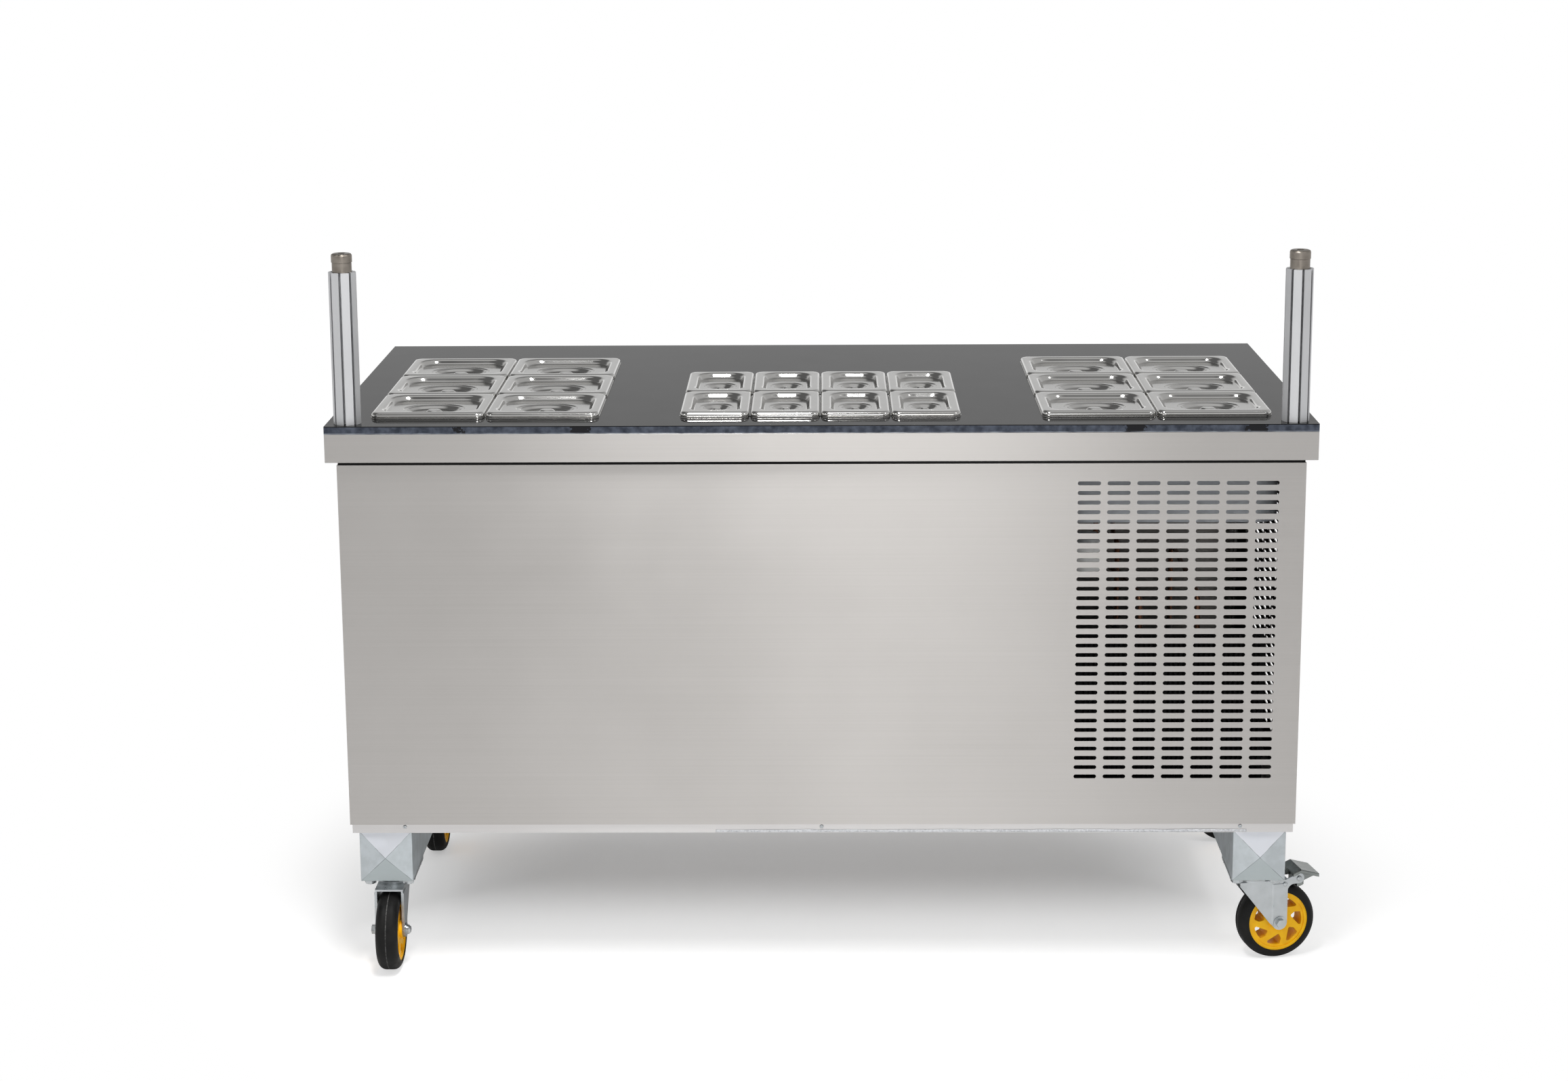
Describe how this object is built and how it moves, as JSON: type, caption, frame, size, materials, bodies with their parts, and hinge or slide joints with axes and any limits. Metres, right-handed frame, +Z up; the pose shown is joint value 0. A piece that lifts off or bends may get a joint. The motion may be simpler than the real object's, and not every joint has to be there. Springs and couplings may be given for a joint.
{
  "type": "frozen yogurt counter",
  "caption": "Mobile refrigerated serving counter with lidded topping pans in a dark worktop, stainless body with a slotted grille, canopy posts and swivel castors.",
  "frame": {"origin": "on the floor, below the middle of the worktop", "axes": "+X to the customer's right along the worktop, +Y to the back, +Z up; the customer stands on the -Y side"},
  "size_m": [1.5381, 0.7285, 1.145],
  "materials": {
    "black_worktop": "polished dark composite slab",
    "brushed_stainless": "fine brushed",
    "tray_stainless": "brushed",
    "polished_stainless": "satin pressed sheet",
    "lid_stainless": "polished pressed sheet",
    "galvanised_steel": "galvanised",
    "zinc_plated_steel": "bright zinc plated",
    "post_aluminium": "satin anodised",
    "spigot_steel": "dull turned steel",
    "well_casing": "foamed casing",
    "yellow_core": "moulded",
    "black_tyre": "solid rubber",
    "black_rubber": "moulded",
    "black_paint": "satin",
    "coil_fins": "dark lacquered fins",
    "fan_plastic": "moulded",
    "white_plastic": "moulded",
    "copper_pipe": "drawn copper"
  },
  "bodies": {
    "counter": {"worktop": "black_worktop", "apron_frame": "brushed_stainless", "front_panel": "brushed_stainless", "left_panel": "brushed_stainless", "right_panel": "brushed_stainless", "rear_panel": "brushed_stainless", "base_tray": "tray_stainless", "chassis_beams": "galvanised_steel", "beam_end_caps": "galvanised_steel", "canopy_posts": "post_aluminium", "post_spigots": "spigot_steel", "cold_wells": "well_casing", "pan_bars": "polished_stainless", "left_pans": "polished_stainless", "middle_pans": "polished_stainless", "right_pans": "polished_stainless", "castor_plates": "zinc_plated_steel", "partition": "galvanised_steel", "condenser_coil": "coil_fins", "fan_shroud": "black_paint", "fan_motor": "black_paint", "compressor": "black_paint", "compressor_grommets": "black_rubber", "refrigerant_pipes": "copper_pipe", "electrical_box": "white_plastic"},
    "fan": {"fan_blades": "fan_plastic"},
    "lid_left_row1_col1_body": {"lid_left_row1_col1": "lid_stainless"},
    "lid_left_row1_col2_body": {"lid_left_row1_col2": "lid_stainless"},
    "lid_left_row2_col1_body": {"lid_left_row2_col1": "lid_stainless"},
    "lid_left_row2_col2_body": {"lid_left_row2_col2": "lid_stainless"},
    "lid_left_row3_col1_body": {"lid_left_row3_col1": "lid_stainless"},
    "lid_left_row3_col2_body": {"lid_left_row3_col2": "lid_stainless"},
    "lid_middle_row1_col1_body": {"lid_middle_row1_col1": "lid_stainless"},
    "lid_middle_row1_col2_body": {"lid_middle_row1_col2": "lid_stainless"},
    "lid_middle_row1_col3_body": {"lid_middle_row1_col3": "lid_stainless"},
    "lid_middle_row1_col4_body": {"lid_middle_row1_col4": "lid_stainless"},
    "lid_middle_row2_col1_body": {"lid_middle_row2_col1": "lid_stainless"},
    "lid_middle_row2_col2_body": {"lid_middle_row2_col2": "lid_stainless"},
    "lid_middle_row2_col3_body": {"lid_middle_row2_col3": "lid_stainless"},
    "lid_middle_row2_col4_body": {"lid_middle_row2_col4": "lid_stainless"},
    "lid_right_row1_col1_body": {"lid_right_row1_col1": "lid_stainless"},
    "lid_right_row1_col2_body": {"lid_right_row1_col2": "lid_stainless"},
    "lid_right_row2_col1_body": {"lid_right_row2_col1": "lid_stainless"},
    "lid_right_row2_col2_body": {"lid_right_row2_col2": "lid_stainless"},
    "lid_right_row3_col1_body": {"lid_right_row3_col1": "lid_stainless"},
    "lid_right_row3_col2_body": {"lid_right_row3_col2": "lid_stainless"},
    "castor_front_left": {"castor_fork_front_left": "zinc_plated_steel"},
    "wheel_front_left": {"wheel_core_front_left": "yellow_core", "wheel_tyre_front_left": "black_tyre"},
    "castor_front_right": {"castor_fork_front_right": "zinc_plated_steel"},
    "wheel_front_right": {"wheel_core_front_right": "yellow_core", "wheel_tyre_front_right": "black_tyre"},
    "pedal_front_right": {"brake_pedal_front_right": "zinc_plated_steel"},
    "castor_rear_left": {"castor_fork_rear_left": "zinc_plated_steel"},
    "wheel_rear_left": {"wheel_core_rear_left": "yellow_core", "wheel_tyre_rear_left": "black_tyre"},
    "castor_rear_right": {"castor_fork_rear_right": "zinc_plated_steel"},
    "wheel_rear_right": {"wheel_core_rear_right": "yellow_core", "wheel_tyre_rear_right": "black_tyre"},
    "pedal_rear_right": {"brake_pedal_rear_right": "zinc_plated_steel"}
  },
  "joints": [
    {"name": "lift_lid_left_row1_col1", "type": "slide", "parent": "counter", "child": "lid_left_row1_col1_body", "axis": [0, 0, 1], "range_m": [0, 0.15]},
    {"name": "lift_lid_left_row1_col2", "type": "slide", "parent": "counter", "child": "lid_left_row1_col2_body", "axis": [0, 0, 1], "range_m": [0, 0.15]},
    {"name": "lift_lid_left_row2_col1", "type": "slide", "parent": "counter", "child": "lid_left_row2_col1_body", "axis": [0, 0, 1], "range_m": [0, 0.15]},
    {"name": "lift_lid_left_row2_col2", "type": "slide", "parent": "counter", "child": "lid_left_row2_col2_body", "axis": [0, 0, 1], "range_m": [0, 0.15]},
    {"name": "lift_lid_left_row3_col1", "type": "slide", "parent": "counter", "child": "lid_left_row3_col1_body", "axis": [0, 0, 1], "range_m": [0, 0.15]},
    {"name": "lift_lid_left_row3_col2", "type": "slide", "parent": "counter", "child": "lid_left_row3_col2_body", "axis": [0, 0, 1], "range_m": [0, 0.15]},
    {"name": "lift_lid_middle_row1_col1", "type": "slide", "parent": "counter", "child": "lid_middle_row1_col1_body", "axis": [0, 0, 1], "range_m": [0, 0.15]},
    {"name": "lift_lid_middle_row1_col2", "type": "slide", "parent": "counter", "child": "lid_middle_row1_col2_body", "axis": [0, 0, 1], "range_m": [0, 0.15]},
    {"name": "lift_lid_middle_row1_col3", "type": "slide", "parent": "counter", "child": "lid_middle_row1_col3_body", "axis": [0, 0, 1], "range_m": [0, 0.15]},
    {"name": "lift_lid_middle_row1_col4", "type": "slide", "parent": "counter", "child": "lid_middle_row1_col4_body", "axis": [0, 0, 1], "range_m": [0, 0.15]},
    {"name": "lift_lid_middle_row2_col1", "type": "slide", "parent": "counter", "child": "lid_middle_row2_col1_body", "axis": [0, 0, 1], "range_m": [0, 0.15]},
    {"name": "lift_lid_middle_row2_col2", "type": "slide", "parent": "counter", "child": "lid_middle_row2_col2_body", "axis": [0, 0, 1], "range_m": [0, 0.15]},
    {"name": "lift_lid_middle_row2_col3", "type": "slide", "parent": "counter", "child": "lid_middle_row2_col3_body", "axis": [0, 0, 1], "range_m": [0, 0.15]},
    {"name": "lift_lid_middle_row2_col4", "type": "slide", "parent": "counter", "child": "lid_middle_row2_col4_body", "axis": [0, 0, 1], "range_m": [0, 0.15]},
    {"name": "lift_lid_right_row1_col1", "type": "slide", "parent": "counter", "child": "lid_right_row1_col1_body", "axis": [0, 0, 1], "range_m": [0, 0.15]},
    {"name": "lift_lid_right_row1_col2", "type": "slide", "parent": "counter", "child": "lid_right_row1_col2_body", "axis": [0, 0, 1], "range_m": [0, 0.15]},
    {"name": "lift_lid_right_row2_col1", "type": "slide", "parent": "counter", "child": "lid_right_row2_col1_body", "axis": [0, 0, 1], "range_m": [0, 0.15]},
    {"name": "lift_lid_right_row2_col2", "type": "slide", "parent": "counter", "child": "lid_right_row2_col2_body", "axis": [0, 0, 1], "range_m": [0, 0.15]},
    {"name": "lift_lid_right_row3_col1", "type": "slide", "parent": "counter", "child": "lid_right_row3_col1_body", "axis": [0, 0, 1], "range_m": [0, 0.15]},
    {"name": "lift_lid_right_row3_col2", "type": "slide", "parent": "counter", "child": "lid_right_row3_col2_body", "axis": [0, 0, 1], "range_m": [0, 0.15]},
    {"name": "fan_spin", "type": "hinge", "parent": "counter", "child": "fan", "pos_m": [0.5425, -0.2243, 0.3855], "axis": [0, 1, 0], "continuous": true},
    {"name": "swivel_front_left", "type": "hinge", "parent": "counter", "child": "castor_front_left", "pos_m": [-0.682, -0.2685, 0.1363], "axis": [0, 0, 1], "continuous": true},
    {"name": "roll_front_left", "type": "hinge", "parent": "castor_front_left", "child": "wheel_front_left", "pos_m": [-0.682, -0.3085, 0.0625], "axis": [1, 0, 0], "continuous": true},
    {"name": "swivel_front_right", "type": "hinge", "parent": "counter", "child": "castor_front_right", "pos_m": [0.682, -0.2685, 0.1363], "axis": [0, 0, 1], "continuous": true},
    {"name": "roll_front_right", "type": "hinge", "parent": "castor_front_right", "child": "wheel_front_right", "pos_m": [0.72113, -0.26018, 0.0625], "axis": [-0.2079, 0.9781, 0], "continuous": true},
    {"name": "brake_front_right", "type": "hinge", "parent": "castor_front_right", "child": "pedal_front_right", "pos_m": [0.75145, -0.25374, 0.134], "axis": [-0.2079, 0.9781, 0], "range_deg": [0, 15]},
    {"name": "swivel_rear_left", "type": "hinge", "parent": "counter", "child": "castor_rear_left", "pos_m": [-0.682, 0.2685, 0.1363], "axis": [0, 0, 1], "continuous": true},
    {"name": "roll_rear_left", "type": "hinge", "parent": "castor_rear_left", "child": "wheel_rear_left", "pos_m": [-0.682, 0.2285, 0.0625], "axis": [1, 0, 0], "continuous": true},
    {"name": "swivel_rear_right", "type": "hinge", "parent": "counter", "child": "castor_rear_right", "pos_m": [0.682, 0.2685, 0.1363], "axis": [0, 0, 1], "continuous": true},
    {"name": "roll_rear_right", "type": "hinge", "parent": "castor_rear_right", "child": "wheel_rear_right", "pos_m": [0.72113, 0.27682, 0.0625], "axis": [-0.2079, 0.9781, 0], "continuous": true},
    {"name": "brake_rear_right", "type": "hinge", "parent": "castor_rear_right", "child": "pedal_rear_right", "pos_m": [0.75145, 0.28326, 0.134], "axis": [-0.2079, 0.9781, 0], "range_deg": [0, 15]}
  ]
}
